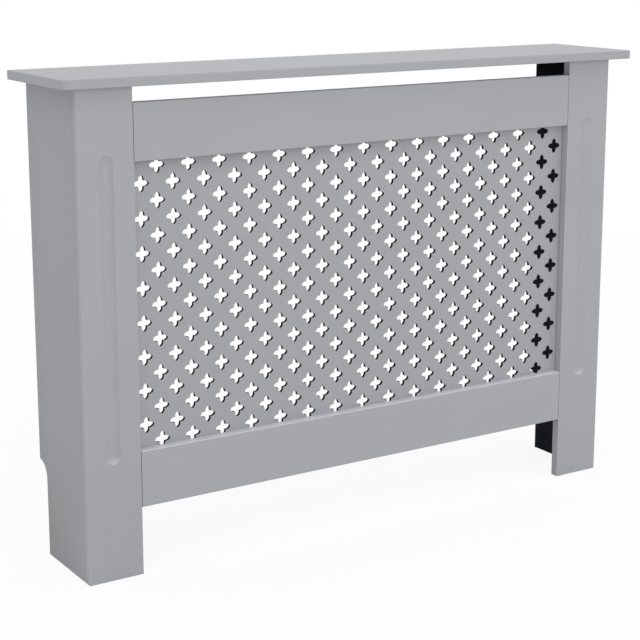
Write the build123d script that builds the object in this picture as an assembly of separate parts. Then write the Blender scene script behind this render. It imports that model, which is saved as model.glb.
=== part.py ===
from build123d import *
import math
import os

os.makedirs("parts", exist_ok=True)

# Radiator cover cabinet, in millimetres. X runs along its width, Y from the room to the wall and
# Z up. The origin is on the floor, in the middle of the whole cover's width and depth.

# The body: two L-shaped legs under one shelf
overall_width = 1140
overall_height = 815
body_depth = 190
shelf_thickness = 15
shelf_side_overhang = 31
shelf_front_overhang = 28
shelf_corner_radius = 11
shelf_top_rounding = 2.5
shelf_bottom_rounding = 1.5
post_width = 96
post_thickness = 16
post_outer_rounding = 3
post_inner_rounding = 0.8
side_thickness = 15

# The skirting board's notch at the back of each foot
notch_depth = 28
notch_height = 162

# The sunk flute on each post
flute_width = 24
flute_depth = 4
flute_length = 497

# The two rails and the grille behind them
warm_air_gap = 27
top_rail_height = 93
bottom_rail_height = 96
bottom_rail_floor_gap = 114
rail_thickness = 15
rail_setback = 1
rail_rounding = 2.5
grille_thickness = 6
grille_rail_lap = 20
grille_post_lap = 14
hole_pitch = 56.5
hole_row_margin = 6
hole_column_margin = 18
petal_length = 13.7
petal_root = 4.8
petal_shoulder_half_width = 4.6
petal_shoulder_distance = 8.3
petal_end_bulge = 0.9

# The square battens in the corners of the legs
batten_width = 18
batten_end_gap = 20

# Dowels, with the depth of each in the board that it is glued into first
dowel_radius = 4
dowel_length = 30
dowel_edge_bevel = 0.8
leg_dowel_count = 4
leg_dowel_end_distance = 70
leg_dowel_depth_in_post = 10
shelf_dowel_depth_in_shelf = 10
rail_dowel_depth_in_post = 15
rail_dowel_edge_distance = 18

# Quick-fit fittings: a bolt that screws into one board and a disc that pulls on its head
cam_reach = 34
cam_disc_radius = 7.5
cam_pocket_floor = 2.5
cam_bolt_thread_radius = 2.5
cam_bolt_thread_length = 11
cam_bolt_stem_radius = 3
cam_bolt_neck_radius = 1.8
cam_bolt_neck_length = 5
cam_bolt_head_radius = 3.2
cam_bolt_head_length = 3
cam_bore_radius = 4
cam_slot_width = 1.4
cam_slot_depth = 2
cam_slot_turn = 45
side_cam_front_distance = 30
side_cam_back_distance = 94
side_dowel_back_distance = 40
post_dowel_inset = 20

# Screws
batten_screw_radius = 2
batten_screw_bite = 10
batten_screw_head_radius = 3.9
batten_screw_stagger = 26
grille_screw_radius = 1.5
grille_screw_bite = 9
grille_screw_head_radius = 3.3
grille_screw_head_height = 2.2
grille_screw_every = 2
grille_screw_end_margin = 60
recess_width = 0.9
recess_depth = 1.1
head_rounding_share = 0.7
screw_tip_share = 0.2

# Angle brackets that tie the cover to the wall
bracket_end_distance = 170
bracket_width = 34
bracket_sheet = 2
bracket_shelf_leg = 26
bracket_wall_leg = 21
bracket_bend_radius = 3
bracket_corner_radius = 4
bracket_wall_hole_radius = 2.5
bracket_wall_hole_drop = 12
bracket_screw_spacing = 18
bracket_screw_radius = 1.75
bracket_screw_bite = 10
bracket_screw_head_radius = 3.5
bracket_screw_head_height = 2.2

# Clearances
dowel_clearance = 0.1
screw_clearance = 0.1
disc_clearance = 0.15
hole_end_clearance = 0.5

# Places that follow from the sizes
overall_depth = body_depth + shelf_front_overhang
shelf_front = -overall_depth / 2
wall_line = overall_depth / 2
post_front = shelf_front + shelf_front_overhang
post_back = post_front + post_thickness
shelf_underside = overall_height - shelf_thickness
body_half_width = overall_width / 2 - shelf_side_overhang
side_inner = body_half_width - side_thickness
post_inner = body_half_width - post_width
post_middle = body_half_width - post_width / 2
rail_front = post_front + rail_setback
rail_back = rail_front + rail_thickness
grille_back = rail_back + grille_thickness
top_rail_top = shelf_underside - warm_air_gap
window_top = top_rail_top - top_rail_height
window_bottom = bottom_rail_floor_gap + bottom_rail_height
window_middle = (window_top + window_bottom) / 2
batten_back = post_back + batten_width
bracket_middle = overall_width / 2 - bracket_end_distance
sides = {"left": -1, "right": 1}


def block(x_from, x_to, y_from, y_to, z_from, z_to):
    """A box between two corners, in either order."""
    size = Vector(abs(x_to - x_from), abs(y_to - y_from), abs(z_to - z_from))
    middle = Vector(x_from + x_to, y_from + y_to, z_from + z_to) / 2
    return Pos(*middle) * Box(size.X, size.Y, size.Z)


def aim(point, direction):
    """A place at a point whose own +Z looks along a direction."""
    return Plane(origin=point, z_dir=direction).location


def rod(point, direction, radius, length):
    """A round bar that starts at a point and runs along a direction."""
    upright = Cylinder(radius, length, align=(Align.CENTER, Align.CENTER, Align.MIN))
    return aim(point, direction) * upright


def write(name, pieces):
    """Saves one piece, or a group of alike ones, under its node's name."""
    solids = [solid for piece in pieces for solid in piece.solids()]
    export_step(solids[0] if len(solids) == 1 else Compound(children=solids), f"parts/{name}.step")


def evenly(first, last, count):
    """Places spread evenly from the first to the last."""
    return [first + (last - first) * step / max(count - 1, 1) for step in range(count)]


# ---- Fasteners ----


def dowel(point, direction, depth_behind):
    """A dowel whose joint is at a point, with some of its length behind the joint."""
    bar = Cylinder(dowel_radius, dowel_length, align=(Align.CENTER, Align.CENTER, Align.MIN))
    bar = chamfer(bar.edges().filter_by(GeomType.CIRCLE), dowel_edge_bevel)
    return aim(point, direction) * Pos(0, 0, -depth_behind) * bar


def dowel_hole(point, direction, depth_behind):
    """The room for a dowel in both of its boards."""
    start = Vector(*point) - Vector(*direction) * (depth_behind + hole_end_clearance)
    length = dowel_length + 2 * hole_end_clearance
    return rod(start, direction, dowel_radius + dowel_clearance, length)


def cam_bolt(point, direction):
    """A bolt that screws in behind its joint and reaches ahead of it to the disc's middle."""
    neck_start = cam_reach - cam_bolt_head_length / 2 - cam_bolt_neck_length
    head_start = neck_start + cam_bolt_neck_length
    upright = rod((0, 0, 0), (0, 0, -1), cam_bolt_thread_radius, cam_bolt_thread_length)
    for start, length, radius in (
        (0, neck_start, cam_bolt_stem_radius),
        (neck_start, cam_bolt_neck_length, cam_bolt_neck_radius),
        (head_start, cam_bolt_head_length, cam_bolt_head_radius),
    ):
        upright += rod((0, 0, start), (0, 0, 1), radius, length)
    return aim(point, direction) * upright


def cam_room(point, direction, face_direction, board_thickness):
    """The bore for a cam bolt's stem, the hole for its thread and the pocket for its disc."""
    point, direction, outward = Vector(*point), Vector(*direction), Vector(*face_direction)
    thread_radius = cam_bolt_thread_radius + screw_clearance
    thread = rod(point, -direction, thread_radius, cam_bolt_thread_length + hole_end_clearance)
    bore = rod(point, direction, cam_bore_radius, cam_reach)
    face = point + direction * cam_reach + outward * (board_thickness / 2)
    pocket_radius = cam_disc_radius + disc_clearance
    pocket = rod(face, -outward, pocket_radius, board_thickness - cam_pocket_floor)
    return thread, bore + pocket


def cam_disc(point, direction, face_direction, board_thickness):
    """A disc that lies flush in its board's face, slotted for a driver and hollow for the bolt."""
    point, direction, outward = Vector(*point), Vector(*direction), Vector(*face_direction)
    middle = point + direction * cam_reach
    face = middle + outward * (board_thickness / 2)
    disc = rod(face, -outward, cam_disc_radius, board_thickness - cam_pocket_floor)
    throat = cam_bolt_head_radius + disc_clearance
    entry = 2 * cam_disc_radius
    disc -= rod(middle - direction * entry, direction, throat, entry + throat)
    slot = Box(cam_slot_width, cam_disc_radius, 2 * cam_slot_depth)
    for turn in (0, 90):
        disc -= aim(face, outward) * Rot(0, 0, cam_slot_turn + turn) * slot
    return disc


def cross_recess(head_radius):
    """The driver's cross, centred on the top of a screw's head."""
    bar = Box(recess_width, head_radius, 2 * recess_depth)
    return bar + Rot(0, 0, 90) * bar


def pointed_shank(radius, length):
    """A screw's shank below its head, with a cone for a tip."""
    tip = 2 * radius
    shank = rod((0, 0, 0), (0, 0, -1), radius, length - tip)
    point = Cone(radius, screw_tip_share * radius, tip, align=(Align.CENTER, Align.CENTER, Align.MIN))
    return shank + Pos(0, 0, tip - length) * Rot(180, 0, 0) * point


def round_head_screw(point, outward, radius, length, head_radius, head_height):
    """A screw with a domed head that stands on a face."""
    head = Cylinder(head_radius, head_height, align=(Align.CENTER, Align.CENTER, Align.MIN))
    head = fillet(head.edges().sort_by(Axis.Z)[-1], head_rounding_share * head_height)
    head -= Pos(0, 0, head_height) * cross_recess(head_radius)
    return aim(point, outward) * (head + pointed_shank(radius, length))


def flat_head_screw(point, outward, radius, length, head_radius):
    """A countersunk screw whose head is flush with a face."""
    sink = head_radius - radius
    head = Cone(radius, head_radius, sink, align=(Align.CENTER, Align.CENTER, Align.MAX))
    head -= cross_recess(head_radius)
    return aim(point, outward) * (head + Pos(0, 0, -sink) * pointed_shank(radius, length - sink))


def straight_screw_hole(point, outward, radius, length):
    """The hole that a screw's shank has made, below a face."""
    inward = -Vector(*outward)
    return rod(point, inward, radius + screw_clearance, length + hole_end_clearance)


def sunk_screw_hole(point, outward, radius, length, head_radius):
    """The hole of a countersunk screw, with room for its head."""
    wide = head_radius + screw_clearance
    narrow = radius + screw_clearance
    sink = Cone(narrow, wide, wide - narrow, align=(Align.CENTER, Align.CENTER, Align.MAX))
    return straight_screw_hole(point, outward, radius, length) + aim(point, outward) * sink


# ---- Where the fasteners go ----


def leg_dowel_places(side):
    top = shelf_underside - leg_dowel_end_distance
    heights = evenly(leg_dowel_end_distance, top, leg_dowel_count)
    x = side * (body_half_width - side_thickness / 2)
    return [((x, post_back, height), (0, 1, 0)) for height in heights]


def shelf_dowel_places(side):
    panel_x = side * (body_half_width - side_thickness / 2)
    panel_y = wall_line - side_dowel_back_distance
    post_x = side * (post_inner + post_dowel_inset)
    post_y = (post_front + post_back) / 2
    return [
        ((panel_x, panel_y, shelf_underside), (0, 0, -1)),
        ((post_x, post_y, shelf_underside), (0, 0, -1)),
    ]


def shelf_cam_places(side):
    """For each fitting: its joint, its bolt's direction, its disc's direction, its board's thickness."""
    panel_x = side * (body_half_width - side_thickness / 2)
    panel_ys = (post_back + side_cam_front_distance, wall_line - side_cam_back_distance)
    post_joint = (side * post_middle, (post_front + post_back) / 2, shelf_underside)
    down = (0, 0, -1)
    places = [((panel_x, y, shelf_underside), down, (-side, 0, 0), side_thickness) for y in panel_ys]
    return places + [(post_joint, down, (0, 1, 0), post_thickness)]


def rail_spans():
    """The bottom and top edge of each rail."""
    return {
        "top_rail": (window_top, top_rail_top),
        "bottom_rail": (bottom_rail_floor_gap, window_bottom),
    }


def rail_cam_places(side, rail_name):
    low, high = rail_spans()[rail_name]
    joint = (side * post_inner, (rail_front + rail_back) / 2, (low + high) / 2)
    return [(joint, (-side, 0, 0), (0, 1, 0), rail_thickness)]


def rail_dowel_places(side, rail_name):
    low, high = rail_spans()[rail_name]
    y = (rail_front + rail_back) / 2
    heights = (low + rail_dowel_edge_distance, high - rail_dowel_edge_distance)
    return [((side * post_inner, y, height), (-side, 0, 0)) for height in heights]


def batten_screw_places(side):
    """Screws into the post and into the side panel, halfway between the leg's dowels."""
    heights = [place[0][2] for place in leg_dowel_places(side)]
    middle_x = side * (side_inner - batten_width / 2)
    middle_y = post_back + batten_width / 2
    places = []
    for low, high in zip(heights, heights[1:]):
        middle = (low + high) / 2
        places.append(((middle_x, batten_back, middle + batten_screw_stagger / 2), (0, 1, 0)))
        inner = side * (side_inner - batten_width)
        places.append(((inner, middle_y, middle - batten_screw_stagger / 2), (-side, 0, 0)))
    return places


def hole_places():
    """The grille's holes: every other column sits half a pitch lower and has one hole less."""
    half_pitch = hole_pitch / 2
    last_column = int((post_inner - hole_column_margin) // half_pitch)
    rows = int(((window_top - window_bottom) / 2 - hole_row_margin) // hole_pitch)
    places = []
    for column in range(-last_column, last_column + 1):
        staggered = column % 2
        for row in range(-rows + staggered, rows + 1):
            places.append((column * half_pitch, window_middle + row * hole_pitch - staggered * half_pitch))
    return places


def grille_screw_places():
    """Screws in line with the columns that stop short of the rails."""
    first = hole_pitch / 2
    step = grille_screw_every * hole_pitch
    count = 1 + int((post_inner - grille_screw_end_margin - first) // step)
    xs = [way * (first + index * step) for index in range(count) for way in (-1, 1)]
    heights = (window_bottom - grille_rail_lap / 2, window_top + grille_rail_lap / 2)
    return [((x, grille_back, z), (0, 1, 0)) for x in xs for z in heights]


def bracket_screw_places(side):
    middle_y = wall_line - (bracket_sheet + bracket_shelf_leg) / 2
    shifts = (-bracket_screw_spacing / 2, bracket_screw_spacing / 2)
    x = side * bracket_middle
    return [((x + shift, middle_y, shelf_underside - bracket_sheet), (0, 0, -1)) for shift in shifts]


batten_screw_length = batten_width + batten_screw_bite
grille_screw_length = grille_thickness + grille_screw_bite
bracket_screw_length = bracket_sheet + bracket_screw_bite

dowel_rooms = []
cam_rooms = []
cam_threads = []
for side in sides.values():
    dowel_rooms += [dowel_hole(p, d, leg_dowel_depth_in_post) for p, d in leg_dowel_places(side)]
    dowel_rooms += [dowel_hole(p, d, shelf_dowel_depth_in_shelf) for p, d in shelf_dowel_places(side)]
    cam_places = shelf_cam_places(side)
    for rail_name in rail_spans():
        rail_dowels = rail_dowel_places(side, rail_name)
        dowel_rooms += [dowel_hole(p, d, rail_dowel_depth_in_post) for p, d in rail_dowels]
        cam_places += rail_cam_places(side, rail_name)
    for place in cam_places:
        thread, room = cam_room(*place)
        cam_threads.append(thread)
        cam_rooms.append(room)


def drilled(board, cutters):
    """A board less the holes that reach it."""
    box = board.bounding_box()
    for cutter in cutters:
        if box.overlaps(cutter.bounding_box()):
            board -= cutter
    return board


def batten_screw_holes(side):
    """The holes that the batten's screws have made in the post and the side panel."""
    size = (batten_screw_radius, batten_screw_length)
    return [straight_screw_hole(*place, *size) for place in batten_screw_places(side)]


def edges_at(edges, axis, place):
    """The edges that lie at a place along an axis."""
    return edges.filter_by_position(axis, place, place)


# ---- Boards ----


def make_shelf():
    half = overall_width / 2
    board = block(-half, half, shelf_front, wall_line, shelf_underside, overall_height)
    front_corners = board.edges().filter_by(Axis.Z).group_by(Axis.Y)[0]
    board = fillet(front_corners, shelf_corner_radius)
    for face_index, radius in ((-1, shelf_top_rounding), (0, shelf_bottom_rounding)):
        rim = board.faces().filter_by(Axis.Z).sort_by(Axis.Z)[face_index].edges()
        rim = [edge for edge in rim if edge.center().Y < wall_line - radius]
        board = fillet(rim, radius)
    size = (bracket_screw_radius, bracket_screw_length)
    bracket_screws = [place for side in sides.values() for place in bracket_screw_places(side)]
    screws = [straight_screw_hole(*place, *size) for place in bracket_screws]
    return drilled(board, dowel_rooms + cam_threads + screws)


def flute_cutter(side):
    """A round-ended cove that bites into the front of a post."""
    half = flute_width / 2
    radius = (half**2 + flute_depth**2) / (2 * flute_depth)
    straight = flute_length - flute_width
    y = post_front + flute_depth - radius
    x = side * post_middle
    bottom = window_middle - straight / 2
    trough = rod((x, y, bottom), (0, 0, 1), radius, straight)
    for height in (bottom, bottom + straight):
        trough += Pos(x, y, height) * Sphere(radius)
    return trough


def make_post(side):
    board = block(side * post_inner, side * body_half_width, post_front, post_back, 0, shelf_underside)
    inner, outer = (side * post_inner, post_inner_rounding), (side * body_half_width, post_outer_rounding)
    for x, radius in (inner, outer):
        upright = edges_at(board.edges().filter_by(Axis.Z), Axis.X, x)
        board = fillet(edges_at(upright, Axis.Y, post_front), radius)
    board -= flute_cutter(side)
    return drilled(board, dowel_rooms + cam_rooms + cam_threads + batten_screw_holes(side))


def make_side_panel(side):
    """An end board, cut away at the back of its foot, with a quarter circle at the top of the cut."""
    notch_line = wall_line - notch_depth
    curve_start = notch_height - notch_depth
    reach = notch_depth * math.sqrt(0.5)
    curve_top = (wall_line, notch_height)
    curve_middle = (wall_line - reach, curve_start + reach)
    curve_bottom = (notch_line, curve_start)
    straight_edges = Polyline(
        curve_top,
        (wall_line, shelf_underside),
        (post_back, shelf_underside),
        (post_back, 0),
        (notch_line, 0),
        curve_bottom,
    )
    curve = ThreePointArc(curve_bottom, curve_middle, curve_top)
    face = Plane.YZ * make_face([straight_edges, curve])
    panel_x = side * (body_half_width - side_thickness / 2)
    board = Pos(panel_x, 0, 0) * extrude(face, side_thickness / 2, both=True)
    return drilled(board, dowel_rooms + cam_rooms + batten_screw_holes(side))


def make_rail(rail_name):
    """A rail with its long front edges rounded and its ends cut square."""
    low, high = rail_spans()[rail_name]
    board = block(-post_inner, post_inner, rail_front, rail_back, low, high)
    front = board.faces().sort_by(Axis.Y)[0]
    board = fillet(front.edges().filter_by(Axis.X), rail_rounding)
    size = (grille_screw_radius, grille_screw_length)
    screws = [straight_screw_hole(*place, *size) for place in grille_screw_places()]
    return drilled(board, dowel_rooms + cam_rooms + screws)


def cross_outline():
    """Four petals round a centre, each with straight sides from its root and a pointed, bulging end."""
    tip = Vector(0, petal_length)
    edges = []
    for way in (1, -1):
        root = Vector(way * petal_root, petal_root)
        shoulder = Vector(way * petal_shoulder_half_width, petal_shoulder_distance)
        outward = Vector(way * (tip.Y - shoulder.Y), abs(shoulder.X)).normalized()
        bulge = (shoulder + tip) / 2 + outward * petal_end_bulge
        for turn in range(4):
            for edge in (Line(root, shoulder), ThreePointArc(shoulder, bulge, tip)):
                edges += (Rot(0, 0, 90 * turn) * edge).edges()
    return Wire.combine(edges)[0]


def make_grille():
    width = 2 * (post_inner + grille_post_lap)
    height = window_top - window_bottom + 2 * grille_rail_lap
    cross = cross_outline()
    circle = Wire.make_circle(grille_screw_radius + screw_clearance)
    holes = [Pos(x, z, 0) * cross for x, z in hole_places()]
    holes += [Pos(x, z, 0) * circle for (x, _, z), _ in grille_screw_places()]
    sheet = (Pos(0, window_middle, 0) * Rectangle(width, height)).face().make_holes(holes)
    return Pos(0, grille_back, 0) * Rot(90, 0, 0) * extrude(sheet, grille_thickness)


def make_batten(side):
    inner = side * (side_inner - batten_width)
    top = shelf_underside - batten_end_gap
    batten = block(inner, side * side_inner, post_back, batten_back, batten_end_gap, top)
    size = (batten_screw_radius, batten_screw_length, batten_screw_head_radius)
    return drilled(batten, [sunk_screw_hole(*place, *size) for place in batten_screw_places(side)])


def make_bracket(side):
    """A bent strip: one leg flat under the shelf, the other flat on the wall line."""
    x = side * bracket_middle
    half = bracket_width / 2
    leg_front = wall_line - bracket_shelf_leg
    leg_bottom = shelf_underside - bracket_wall_leg
    hollow_back = wall_line - bracket_sheet
    hollow_top = shelf_underside - bracket_sheet
    strip = block(x - half, x + half, leg_front, wall_line, leg_bottom, shelf_underside)
    strip -= block(x - half, x + half, leg_front, hollow_back, leg_bottom, hollow_top)
    for y, z, radius in (
        (wall_line, shelf_underside, bracket_bend_radius),
        (hollow_back, hollow_top, bracket_bend_radius - bracket_sheet),
    ):
        across = edges_at(strip.edges().filter_by(Axis.X), Axis.Y, y)
        strip = fillet(edges_at(across, Axis.Z, z), radius)
    for along, axis, leg_end in ((Axis.Z, Axis.Y, leg_front), (Axis.Y, Axis.Z, leg_bottom)):
        corners = edges_at(strip.edges().filter_by(along), axis, leg_end)
        strip = fillet(corners, bracket_corner_radius)
    wall_hole = (x, wall_line, shelf_underside - bracket_wall_hole_drop)
    strip -= rod(wall_hole, (0, -1, 0), bracket_wall_hole_radius, bracket_sheet)
    size = (bracket_screw_radius, bracket_screw_length)
    return drilled(strip, [straight_screw_hole(*place, *size) for place in bracket_screw_places(side)])


# ---- Everything, piece by piece ----

write("top_shelf", [make_shelf()])
write("grille_panel", [make_grille()])
for rail_name in rail_spans():
    write(rail_name, [make_rail(rail_name)])
for side_name, side in sides.items():
    write(f"{side_name}_post", [make_post(side)])
    write(f"{side_name}_side_panel", [make_side_panel(side)])
    write(f"{side_name}_corner_batten", [make_batten(side)])
    write(f"{side_name}_wall_bracket", [make_bracket(side)])

both = list(sides.values())
leg_dowels = [place for side in both for place in leg_dowel_places(side)]
write("leg_dowels", [dowel(*place, leg_dowel_depth_in_post) for place in leg_dowels])
shelf_dowels = [place for side in both for place in shelf_dowel_places(side)]
write("shelf_dowels", [dowel(*place, shelf_dowel_depth_in_shelf) for place in shelf_dowels])
shelf_cams = [place for side in both for place in shelf_cam_places(side)]
write("shelf_cam_bolts", [cam_bolt(*place[:2]) for place in shelf_cams])
write("shelf_cam_discs", [cam_disc(*place) for place in shelf_cams])
for rail_name in rail_spans():
    rail_dowels = [place for side in both for place in rail_dowel_places(side, rail_name)]
    rail_cams = [place for side in both for place in rail_cam_places(side, rail_name)]
    write(f"{rail_name}_dowels", [dowel(*place, rail_dowel_depth_in_post) for place in rail_dowels])
    write(f"{rail_name}_cam_bolts", [cam_bolt(*place[:2]) for place in rail_cams])
    write(f"{rail_name}_cam_discs", [cam_disc(*place) for place in rail_cams])

for side_name, side in sides.items():
    size = (batten_screw_radius, batten_screw_length, batten_screw_head_radius)
    screws = [flat_head_screw(*place, *size) for place in batten_screw_places(side)]
    write(f"{side_name}_batten_screws", screws)

size = (grille_screw_radius, grille_screw_length, grille_screw_head_radius, grille_screw_head_height)
write("grille_screws", [round_head_screw(*place, *size) for place in grille_screw_places()])

size = (bracket_screw_radius, bracket_screw_length, bracket_screw_head_radius, bracket_screw_head_height)
bracket_screws = [place for side in both for place in bracket_screw_places(side)]
write("wall_bracket_screws", [round_head_screw(*place, *size) for place in bracket_screws])
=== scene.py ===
import math
import bpy
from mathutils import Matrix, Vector

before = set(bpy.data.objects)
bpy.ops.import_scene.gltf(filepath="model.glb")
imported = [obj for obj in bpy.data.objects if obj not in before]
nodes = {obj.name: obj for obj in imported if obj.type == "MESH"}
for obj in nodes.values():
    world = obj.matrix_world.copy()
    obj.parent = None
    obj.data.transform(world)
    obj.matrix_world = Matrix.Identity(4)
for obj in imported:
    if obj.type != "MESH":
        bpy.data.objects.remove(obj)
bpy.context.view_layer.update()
mm = 0.001
print("frame loaded,", len(nodes), "pieces")


# how shaders are written: sums on fields, and one method for every other node

class Field:
    # wraps a socket, so that 1 - mask or wear * 0.2 adds its own Math nodes
    def __init__(self, finish, socket):
        self.finish, self.socket = finish, socket

    def maths(self, operation, first, second):
        return self.finish.node("ShaderNodeMath", {"operation": operation}, {0: first, 1: second})

    def __add__(self, other):
        return self.maths("ADD", self, other)

    def __radd__(self, other):
        return self.maths("ADD", other, self)

    def __sub__(self, other):
        return self.maths("SUBTRACT", self, other)

    def __rsub__(self, other):
        return self.maths("SUBTRACT", other, self)

    def __mul__(self, other):
        return self.maths("MULTIPLY", self, other)

    def __rmul__(self, other):
        return self.maths("MULTIPLY", other, self)

    def __neg__(self):
        return self.maths("SUBTRACT", 0.0, self)

    def __abs__(self):
        return self.maths("ABSOLUTE", self, 0.0)

    def orMore(self, other):
        return self.maths("MAXIMUM", self, other)

    def rise(self, low, high):
        # 0 below low and 1 above high, with a smooth step between
        return self.finish.node("ShaderNodeMapRange", {"interpolation_type": "SMOOTHSTEP"},
                                {0: self, 1: low, 2: high, 3: 0.0, 4: 1.0})

    def past(self, place, blend):
        # 0 before a place and 1 past it, with a smooth step that reaches out by blend on both sides
        return self.rise(place - blend, place + blend)

    def swing(self, amount):
        # noise, whose middle is 0.5, made to swing about 0
        return (self - 0.5) * amount


class Finish:
    # one material, laid out node by node
    def __init__(self, tree):
        self.tree = tree
        tree.nodes.clear()

    def node(self, kind, settings=None, values=None, out=0):
        # settings go to the node itself and values to its inputs, by their names or numbers
        made = self.tree.nodes.new(kind)
        for key, value in (settings or {}).items():
            setattr(made, key, value)
        for key, value in (values or {}).items():
            if isinstance(value, Field):
                self.tree.links.new(value.socket, made.inputs[key])
            elif isinstance(value, tuple):   # a colour has four parts and a vector three
                made.inputs[key].default_value = value[:len(made.inputs[key].default_value)]
            else:
                made.inputs[key].default_value = value
        return Field(self, made.outputs[out]) if len(made.outputs) else made

    def place(self):
        return self.node("ShaderNodeTexCoord", out="Object")

    def parts(self, vector):
        split = self.node("ShaderNodeSeparateXYZ", values={0: vector}).socket.node
        return [Field(self, output) for output in split.outputs]

    def axes(self):
        # where a point is on the cover, in metres, along each axis
        return self.parts(self.place())

    def facing(self):
        # which way the surface faces, as a share of each axis
        return self.parts(self.node("ShaderNodeTexCoord", out="Normal"))

    def noise(self, size, detail=2.0, roughness=0.5, pull=(1.0, 1.0, 1.0), twist=0.0):
        # spots of about one size, pulled out along an axis where asked
        spread = self.node("ShaderNodeVectorMath", {"operation": "MULTIPLY"},
                           {0: self.place(), 1: tuple(1 / (size * share) for share in pull)})
        return self.node("ShaderNodeTexNoise", values={
            "Vector": spread, "Scale": 1.0, "Detail": detail, "Roughness": roughness, "Distortion": twist})

    def mix(self, share, first, second):
        return self.node("ShaderNodeMix", {"data_type": "RGBA"}, {0: share, 6: first, 7: second}, out=2)

    def shade(self, colour, amount):
        # a colour made darker or lighter by a field, 1 for as it is
        return self.node("ShaderNodeVectorMath", {"operation": "SCALE"}, {0: colour, "Scale": amount})

    def bump(self, height, depth, under=None):
        # height runs from 0 to 1 and stands for a depth in metres
        values = {"Height": height, "Distance": depth, "Strength": 1.0}
        if under:
            values["Normal"] = under
        return self.node("ShaderNodeBump", values=values)

    def coat(self, values):
        return self.node("ShaderNodeBsdfPrincipled", values=values)

    def join(self, share, first, second):
        return self.node("ShaderNodeMixShader", values={0: share, 1: first, 2: second})

    def close(self, surface):
        self.node("ShaderNodeOutputMaterial", values={"Surface": surface})


def newFinish(name):
    material = bpy.data.materials.new(name)
    material.use_nodes = True
    return material, Finish(material.node_tree)


def dress(material, *names):
    for name in names:
        for slot in nodes[name].material_slots:
            slot.material = material


def rgb(colour, share=1.0):
    return (*(part * share for part in colour), 1.0)


def lengthways(axis, pull):
    # pulled out along one axis: 0 for x, 1 for y, 2 for z
    return tuple(pull if each == axis else 1.0 for each in range(3))


def reach(name):
    # the least x, y and z of a piece, and then the greatest
    corners = nodes[name].bound_box
    return [[pick(corner[axis] for corner in corners) for axis in range(3)] for pick in (min, max)]


def addObject(name, data):
    made = bpy.data.objects.new(name, data)
    bpy.context.scene.collection.objects.link(made)
    return made


# the spray paint that all the boards share, and the black on what faces the wall

spray = {
    "grey": (0.405, 0.417, 0.441),
    "clouds": 0.07,                  # how far the grey wanders
    "cloudSize": 120 * mm,
    "gloss": 0.40,                   # roughness of the sprayed faces
    "cloudGloss": 0.10,
    "edgeGloss": 0.50,               # sawn edges drink more paint
    "shine": 0.28,
    "peelSize": 1.7 * mm,
    "peelDepth": 0.010 * mm,
    "waveSize": 45 * mm,
    "waveDepth": 0.030 * mm,
    "specks": 0.05,
    "speckSize": 2.2 * mm,
    "speckRange": (0.70, 0.80),      # a higher range leaves fewer specks
    "scuffs": 0.10,
    "scuffSize": 5 * mm,
    "scuffPull": (9.0, 1.0, 0.5),    # they run along the floor
    "scuffRange": (0.58, 0.72),
    "scuffHeight": 60 * mm,
    "scuffGloss": 0.15,
}
black = {
    "tone": (0.0162, 0.0186, 0.0238),
    "dust": (0.030, 0.030, 0.030),
    "dustRange": (0.45, 0.80),
    "cloudSize": 60 * mm,
    "cloudGloss": 0.10,
    "gloss": 0.85,
    "shine": 0.06,
    "fibreSize": 0.9 * mm,
    "fibreDepth": 0.030 * mm,
}


def greyPaint(finish, shade, edge=None, paintedShade=None, paintedLight=None):
    # edge marks the sawn edges; shade sets the grey of each piece, painted light and shade that makes
    # boards of one paint lighter or darker; the darkening mask is painted shade, and the lightening mask
    # painted light (with painted shade where it is below 0)
    _, _, z = finish.axes()
    low = 1.0 - z.rise(0.0, spray["scuffHeight"])
    clouds = finish.noise(spray["cloudSize"], detail=3.0, roughness=0.55)
    specks = finish.noise(spray["speckSize"], detail=1.0).rise(*spray["speckRange"])
    scuffs = finish.noise(spray["scuffSize"], detail=3.0, roughness=0.6, pull=spray["scuffPull"])
    scuffs = scuffs.rise(*spray["scuffRange"]) * low
    level = 1.0 + clouds.swing(spray["clouds"]) - specks * spray["specks"] - scuffs * spray["scuffs"]
    if paintedShade:
        level = level * (1.0 - paintedShade)
    if paintedLight:
        level = level * (1.0 + paintedLight)
    gloss = spray["gloss"] + clouds.swing(spray["cloudGloss"]) + scuffs * spray["scuffGloss"]
    if edge:
        gloss = gloss + edge * (spray["edgeGloss"] - spray["gloss"])
    wave = finish.bump(finish.noise(spray["waveSize"], detail=1.0), spray["waveDepth"])
    peel = finish.bump(finish.noise(spray["peelSize"]), spray["peelDepth"], wave)
    return finish.coat({"Base Color": finish.shade(rgb(spray["grey"], shade), level), "Roughness": gloss,
                        "Specular IOR Level": spray["shine"], "Normal": peel})


def blackPaint(finish, paintedShadow=None):
    # the last argument is painted shadow, where the black is deeper still
    fibres = finish.noise(black["fibreSize"], detail=3.0, roughness=0.6)
    clouds = finish.noise(black["cloudSize"])
    paleShare = clouds.rise(*black["dustRange"]) * fibres
    colour = finish.mix(paleShare, rgb(black["tone"]), rgb(black["dust"]))
    if paintedShadow:
        colour = finish.shade(colour, 1.0 - paintedShadow)
    gloss = black["gloss"] + clouds.swing(black["cloudGloss"])
    return finish.coat({"Base Color": colour, "Roughness": gloss, "Specular IOR Level": black["shine"],
                        "Normal": finish.bump(fibres, black["fibreDepth"])})


# the shelf: grey all over, its sawn edges a little duller and darker with painted shade, and its ends
# paler with painted light

shelf = {"shade": 0.978, "edgeStart": 0.1 * mm, "edgeFull": 0.6 * mm, "edgePaintedShade": -0.03, "endPaintedLight": 0.22}


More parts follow.
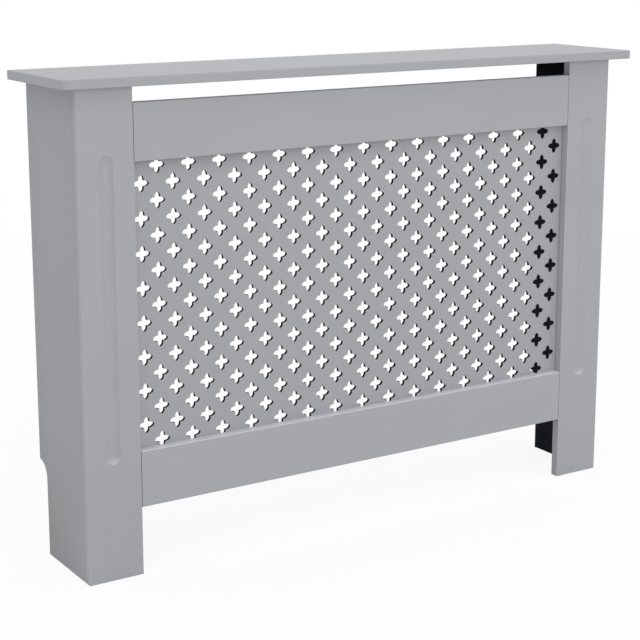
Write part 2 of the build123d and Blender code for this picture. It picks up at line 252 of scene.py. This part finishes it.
def paintShelf():
    material, finish = newFinish("shelfPaint")
    (_, _, bottom), (_, _, top) = reach("top_shelf")
    middle = (bottom + top) / 2
    half = (top - bottom) / 2
    _, _, z = finish.axes()
    edge = 1.0 - abs(z - middle).rise(half - shelf["edgeFull"], half - shelf["edgeStart"])
    sideways = abs(finish.facing()[0])
    # painted shade on the sawn edges and painted light on the ends, which face sideways
    paintedLight = edge * shelf["edgePaintedShade"] + sideways * sideways * shelf["endPaintedLight"]
    finish.close(greyPaint(finish, shelf["shade"], edge, paintedLight=paintedLight))
    dress(material, "top_shelf")


paintShelf()
print("shelf painted")


# the posts: grey in front, black where they face the wall, with painted light along their sides, on what
# faces up and in the right flute, and painted shade beside the slot under the shelf and in the corners
# with the grille

posts = {
    "shade": 0.98,
    "wrap": 0.15 * mm,               # how far the black comes round from the back
    "wrapFull": 0.05 * mm,
    "paleShare": 0.5,                    # painted light on what faces up
    "innerWidth": 1.5 * mm,
    "innerBlend": 0.5 * mm,
    "proudPaintedHighlight": 0.5,                 # painted highlight where they stand proud of the rails
    "proudBlend": 0.1 * mm,
    "windowPaintedLight": 0.30,               # painted light between the two rails
    "windowBlend": 4 * mm,
    "slotPaintedShade": 0.18,
    "slotBlend": 8 * mm,
    "cornerPaintedShade": 0.22,
    "cornerDepth": 2.4 * mm,
    "cornerBlend": 0.3 * mm,
    "outerPaintedLight": 0.24,
    "outerWidth": 4 * mm,
    "outerBlend": 2 * mm,
    "flutePaintedLight": 0.07,
    "fluteClear": 27.5 * mm,         # from a post's inner side to its flute
    "fluteBlend": 0.5 * mm,
}


def paintPosts():
    material, finish = newFinish("postPaint")
    (inner, front, _), (outer, back, _) = reach("right_post")
    _, _, windowLow = reach("bottom_rail")[1]
    (_, railFront, windowHigh), (_, _, slotLow) = reach("top_rail")
    x, y, z = finish.axes()
    sideways, _, up = finish.facing()
    behind = y.rise(back - posts["wrap"], back - posts["wrapFull"])
    proud = 1.0 - y.past(railFront, posts["proudBlend"])
    window = z.past(windowLow, posts["windowBlend"]) * (1.0 - z.past(windowHigh, posts["windowBlend"]))
    slot = z.rise(slotLow - posts["slotBlend"], slotLow)
    corner = y.past(back - posts["cornerDepth"], posts["cornerBlend"])

    innerSide = abs(sideways) * (1.0 - abs(x).past(inner + posts["innerWidth"], posts["innerBlend"]))
    # painted highlight on the inner side where it stands proud of the rails, painted light on it between
    # the rails
    innerPaintedLight = proud * posts["proudPaintedHighlight"] + (1.0 - proud) * window * posts["windowPaintedLight"]
    # painted shade on the inner side beside the slot under the shelf and in the corner with the grille
    innerPaintedShade = (1.0 - proud) * (slot * posts["slotPaintedShade"] + window * corner * posts["cornerPaintedShade"])
    outerSide = abs(sideways) * abs(x).past(outer - posts["outerWidth"], posts["outerBlend"])
    # painted light on the outer side near the front edge, fading towards the back
    outerPaintedLight = (1.0 - y.rise(front, back)) * posts["outerPaintedLight"]
    # of the two flutes the right one gets painted light, on the side that looks to the left
    fluteSide = (-sideways).orMore(0.0) * x.past(inner + posts["fluteClear"], posts["fluteBlend"])

    # painted light: paler upward faces, inner and outer sides and the right flute
    paintedLight = (up.orMore(0.0) * posts["paleShare"] + innerSide * innerPaintedLight + outerSide * outerPaintedLight
            + fluteSide * posts["flutePaintedLight"])
    grey = greyPaint(finish, posts["shade"], paintedShade=innerSide * innerPaintedShade, paintedLight=paintedLight)
    finish.close(finish.join(behind, grey, blackPaint(finish)))
    dress(material, "left_post", "right_post")


paintPosts()
print("posts painted")


# the end boards: grey outside, black inside with painted shadow high up under the shelf, and painted shade
# low down, along the back and at the foot

ends = {
    "shade": 1.04,
    "wrap": 0.6 * mm,                # how far the black comes round from the inside
    "wrapFull": 0.2 * mm,
    "paintedShade": 0.09,
    "backPaintedShade": 0.06,
    "backWidth": 60 * mm,
    "footPaintedShade": 0.17,
    "footHeight": 230 * mm,
    "footFront": -70 * mm,
    "footBack": 70 * mm,
    "paintedShadow": 0.92,
    "paintedShadowLow": 700 * mm,
    "paintedShadowHigh": 785 * mm,
}


def paintEnds():
    material, finish = newFinish("endBoardPaint")
    (inner, _, _), (_, back, height) = reach("right_side_panel")
    x, y, z = finish.axes()
    inside = 1.0 - abs(x).rise(inner + ends["wrapFull"], inner + ends["wrap"])
    low = 1.0 - z.rise(0.0, height)
    nearBack = y.rise(back - ends["backWidth"], back)
    foot = (1.0 - z.rise(0.0, ends["footHeight"])) * y.rise(ends["footFront"], ends["footBack"])
    # painted shade: darker low down, along the back and at the foot
    paintedShade = low * ends["paintedShade"] + nearBack * ends["backPaintedShade"] + foot * ends["footPaintedShade"]
    # painted shadow: the black inside goes deeper high up under the shelf
    paintedShadow = z.rise(ends["paintedShadowLow"], ends["paintedShadowHigh"]) * ends["paintedShadow"]
    grey = greyPaint(finish, ends["shade"], paintedShade=paintedShade)
    finish.close(finish.join(inside, grey, blackPaint(finish, paintedShadow)))
    dress(material, "left_side_panel", "right_side_panel")


paintEnds()
print("end boards painted")


# the rails: grey, with painted light where they face up and dark seams at their ends, joint lines with
# painted shade, with a black back whose ragged edge comes a little onto the upper one's top (ragged and
# wrapFull are shares of the wrap)

rails = {"raggedSize": 6 * mm, "ragged": 1 / 3, "wrapFull": 0.8, "leftSeam": 0.82, "rightSeam": 0.40,
         "seamWidth": 1.5 * mm, "seamBlend": 0.3 * mm}
upperRail = {"shade": 0.985, "wrap": 2.8 * mm, "paleShare": 0.32}
lowerRail = {"shade": 1.008, "wrap": 0.2 * mm, "paleShare": 0.64}


def paintRail(name, rail):
    material, finish = newFinish(name + "Paint")
    end, back, _ = reach(name)[1]
    x, y, _ = finish.axes()
    ragged = y + finish.noise(rails["raggedSize"]).swing(rail["wrap"] * rails["ragged"])
    behind = ragged.rise(back - rail["wrap"], back - rail["wrap"] * rails["wrapFull"])
    # painted light: paler where the rail faces up
    dust = finish.facing()[2].orMore(0.0) * rail["paleShare"]
    # dark seams at the ends: joint lines deepened with painted shade, darker at the left end
    seamStart = end - rails["seamWidth"]
    seamFull = seamStart + rails["seamBlend"]
    seam = (rails["leftSeam"] * (-x).rise(seamStart, seamFull)
            + rails["rightSeam"] * x.rise(seamStart, seamFull))
    grey = greyPaint(finish, rail["shade"], paintedShade=seam, paintedLight=dust)
    finish.close(finish.join(behind, grey, blackPaint(finish)))
    dress(material, name)


paintRail("top_rail", upperRail)
paintRail("bottom_rail", lowerRail)
print("rails painted")


# the grille: grey on the room side only, so its holes have black walls, and a painted shadow under the
# rail

grille = {"shade": 0.935, "sprayFades": 0.1 * mm, "sprayEnds": 0.3 * mm, "raggedSize": 3 * mm,
          "ragged": 0.4 * mm, "paintedShade": 0.11, "paintedShadowHeight": 30 * mm}


def paintGrille():
    material, finish = newFinish("grillePaint")
    _, front, _ = reach("grille_panel")[0]
    _, _, railEdge = reach("top_rail")[0]
    _, y, z = finish.axes()
    ragged = y + finish.noise(grille["raggedSize"]).swing(grille["ragged"])
    cut = ragged.rise(front + grille["sprayFades"], front + grille["sprayEnds"])
    # painted shadow on the grille just under the top rail
    paintedShade = z.rise(railEdge - grille["paintedShadowHeight"], railEdge) * grille["paintedShade"]
    grey = greyPaint(finish, grille["shade"], paintedShade=paintedShade)
    finish.close(finish.join(cut, grey, blackPaint(finish)))
    dress(material, "grille_panel")


paintGrille()
print("grille painted")


# the corner battens: softwood under black stain, grain along their length

battens = {"tone": (0.014, 0.0145, 0.016), "grain": (0.030, 0.027, 0.025), "contrast": 1.6,
           "grainSize": 2.5 * mm, "grainPull": 40.0, "grainTwist": 0.4, "grainDepth": 0.12 * mm,
           "ringSize": 7 * mm, "ringPull": 25.0, "ringTwist": 1.2,
           "gloss": 0.7, "grainGloss": 0.15, "shine": 0.2}


def stainBattens():
    material, finish = newFinish("blackStainedSoftwood")
    grain = finish.noise(battens["grainSize"], detail=4.0, roughness=0.6,
                         pull=lengthways(2, battens["grainPull"]), twist=battens["grainTwist"])
    rings = finish.noise(battens["ringSize"], pull=lengthways(2, battens["ringPull"]),
                         twist=battens["ringTwist"])
    colour = finish.mix(grain * rings * battens["contrast"], rgb(battens["tone"]), rgb(battens["grain"]))
    gloss = battens["gloss"] - grain * battens["grainGloss"]
    finish.close(finish.coat({"Base Color": colour, "Roughness": gloss,
                              "Specular IOR Level": battens["shine"],
                              "Normal": finish.bump(grain, battens["grainDepth"])}))
    dress(material, "left_corner_batten", "right_corner_batten")


stainBattens()
print("battens stained")


# zinc: plated brackets and screws, cast discs

zinc = {"plated": (0.60, 0.61, 0.62), "cast": (0.47, 0.47, 0.48), "dull": (0.40, 0.41, 0.42),
        "spotRange": (0.35, 0.70), "spotGloss": 0.2, "brushSize": 0.5 * mm, "brushGloss": 0.1}
brackets = {"tone": zinc["plated"], "gloss": 0.36, "spotSize": 6 * mm, "pull": 12.0, "depth": 0.008 * mm}
screws = {"tone": zinc["plated"], "gloss": 0.34, "spotSize": 2 * mm, "pull": 1.0, "depth": 0.006 * mm}
discs = {"tone": zinc["cast"], "gloss": 0.48, "spotSize": 1.5 * mm, "pull": 1.0, "depth": 0.015 * mm}


def plate(name, piece, *names):
    material, finish = newFinish(name)
    spots = finish.noise(piece["spotSize"], detail=3.0, roughness=0.6)
    brushed = finish.noise(zinc["brushSize"], pull=lengthways(0, piece["pull"]))
    colour = finish.mix(spots.rise(*zinc["spotRange"]), rgb(piece["tone"]), rgb(zinc["dull"]))
    gloss = piece["gloss"] + spots.swing(zinc["spotGloss"]) + brushed.swing(zinc["brushGloss"])
    finish.close(finish.coat({"Base Color": colour, "Metallic": 1.0, "Roughness": gloss,
                              "Normal": finish.bump(brushed, piece["depth"])}))
    dress(material, *names)


plate("platedBracket", brackets, "left_wall_bracket", "right_wall_bracket")
plate("platedScrew", screws, "grille_screws", "wall_bracket_screws", "left_batten_screws",
      "right_batten_screws", "shelf_cam_bolts", "top_rail_cam_bolts", "bottom_rail_cam_bolts")
plate("castDisc", discs, "shelf_cam_discs", "top_rail_cam_discs", "bottom_rail_cam_discs")
print("fittings plated")


# beech dowels, hidden in the joints, with grain along each one's length

beech = {"light": (0.56, 0.40, 0.25), "dark": (0.42, 0.28, 0.16), "gloss": 0.6, "shine": 0.3,
         "grainSize": 0.7 * mm, "grainPull": 14.0, "grainDepth": 0.05 * mm,
         "flecks": 0.2, "fleckSize": 2 / 3 * mm, "fleckPull": 4.25, "fleckRange": (0.62, 0.70),
         "fleckGloss": 0.1}


def turnDowels(name, axis, *names):
    material, finish = newFinish(name)
    grain = finish.noise(beech["grainSize"], detail=3.0, roughness=0.6,
                         pull=lengthways(axis, beech["grainPull"]))
    flecks = finish.noise(beech["fleckSize"], detail=1.0, pull=lengthways(axis, beech["fleckPull"]))
    flecks = flecks.rise(*beech["fleckRange"])
    colour = finish.shade(finish.mix(grain, rgb(beech["light"]), rgb(beech["dark"])),
                          1.0 - flecks * beech["flecks"])
    gloss = beech["gloss"] + flecks * beech["fleckGloss"]
    finish.close(finish.coat({"Base Color": colour, "Roughness": gloss,
                              "Specular IOR Level": beech["shine"],
                              "Normal": finish.bump(grain, beech["grainDepth"])}))
    dress(material, *names)


turnDowels("beechAcross", 0, "top_rail_dowels", "bottom_rail_dowels")
turnDowels("beechForward", 1, "leg_dowels")
turnDowels("beechUpright", 2, "shelf_dowels")
print("dowels turned")


# the floor: white to the camera but for the cover's shadow, a plain pale floor to the light

floor = {"size": 60.0, "pale": (0.70, 0.70, 0.70), "bright": (1.0, 1.0, 1.0), "whiteness": 0.90,
         "shadowReach": 1.2, "whiteBeyond": 4.0}


def seenDirectly(finish):
    # 1 where the picture shows a surface itself or its reflection, 0 where it only lights others
    rays = finish.node("ShaderNodeLightPath").socket.node.outputs
    camera, glossy, through = [Field(finish, rays[name]) for name in
                               ("Is Camera Ray", "Is Glossy Ray", "Is Transmission Ray")]
    return camera.orMore(glossy).orMore(through)


def layFloor():
    half = floor["size"] / 2
    corners = [(-half, -half, 0), (half, -half, 0), (half, half, 0), (-half, half, 0)]
    mesh = bpy.data.meshes.new("floor")
    mesh.from_pydata(corners, [], [(0, 1, 2, 3)])
    piece = addObject("floor", mesh)
    material, finish = newFinish("paleFloor")
    seen = seenDirectly(finish)
    tone = finish.mix(seen, rgb(floor["pale"]), rgb(floor["bright"]))
    matt = finish.node("ShaderNodeBsdfDiffuse", values={"Color": tone})
    white = finish.node("ShaderNodeEmission", values={"Color": rgb(floor["bright"]), "Strength": 1.0})
    away = finish.node("ShaderNodeVectorMath", {"operation": "LENGTH"}, {0: finish.place()}, out=1)
    unshadowed = away.rise(floor["shadowReach"], floor["whiteBeyond"])
    share = floor["whiteness"] + unshadowed * (1.0 - floor["whiteness"])
    finish.close(finish.join(seen * share, matt, white))
    mesh.materials.append(material)


layFloor()
print("floor laid")


# the light: a pale room that is brightest overhead, and a broad soft lamp low in front

light = {"tone": (1.0, 1.0, 1.0), "horizon": 0.28, "overhead": 1.14, "lampPower": 43.0, "lampSize": 1.6,
         "lampFrom": (0.3, -3.8, 1.4), "lampAt": (0.0, 0.0, 0.45)}


def lightRoom():
    world = bpy.data.worlds.new("paleRoom")
    bpy.context.scene.world = world
    world.use_nodes = True
    finish = Finish(world.node_tree)
    _, _, up = finish.parts(finish.node("ShaderNodeTexCoord", out="Generated"))
    strength = light["horizon"] + up.orMore(0.0) * (light["overhead"] - light["horizon"])
    dim = finish.node("ShaderNodeBackground", values={"Color": rgb(light["tone"]), "Strength": strength})
    white = finish.node("ShaderNodeBackground", values={"Color": rgb(light["tone"]), "Strength": 1.0})
    both = finish.join(seenDirectly(finish), dim, white)
    finish.node("ShaderNodeOutputWorld", values={"Surface": both})


def hangLamp():
    lamp = bpy.data.lights.new("softLamp", "AREA")
    lamp.shape = "DISK"
    lamp.size = light["lampSize"]
    lamp.energy = light["lampPower"]
    holder = addObject("softLamp", lamp)
    holder.location = light["lampFrom"]
    aim = Vector(light["lampAt"]) - Vector(light["lampFrom"])
    holder.rotation_mode = "QUATERNION"
    holder.rotation_quaternion = aim.to_track_quat("-Z", "Y")


lightRoom()
hangLamp()
print("light set")


# the camera stands left of the middle and looks a little down: turn and down are in degrees, lens
# and sensor in millimetres

view = {"from": (-1.5173, -2.2973, 1.0292), "turn": 32.59, "down": 11.956, "lens": 89.38, "shift": -0.08,
        "sensor": 36.0, "near": 0.05, "far": 200.0}


def placeCamera():
    data = bpy.data.cameras.new("camera")
    data.sensor_width = view["sensor"]
    data.lens = view["lens"]
    data.shift_y = view["shift"]
    data.clip_start = view["near"]
    data.clip_end = view["far"]
    camera = addObject("camera", data)
    camera.location = view["from"]
    camera.rotation_euler = (math.radians(90 - view["down"]), 0.0, -math.radians(view["turn"]))
    bpy.context.scene.camera = camera


placeCamera()
bpy.context.scene.view_settings.view_transform = "Standard"
print("camera placed")
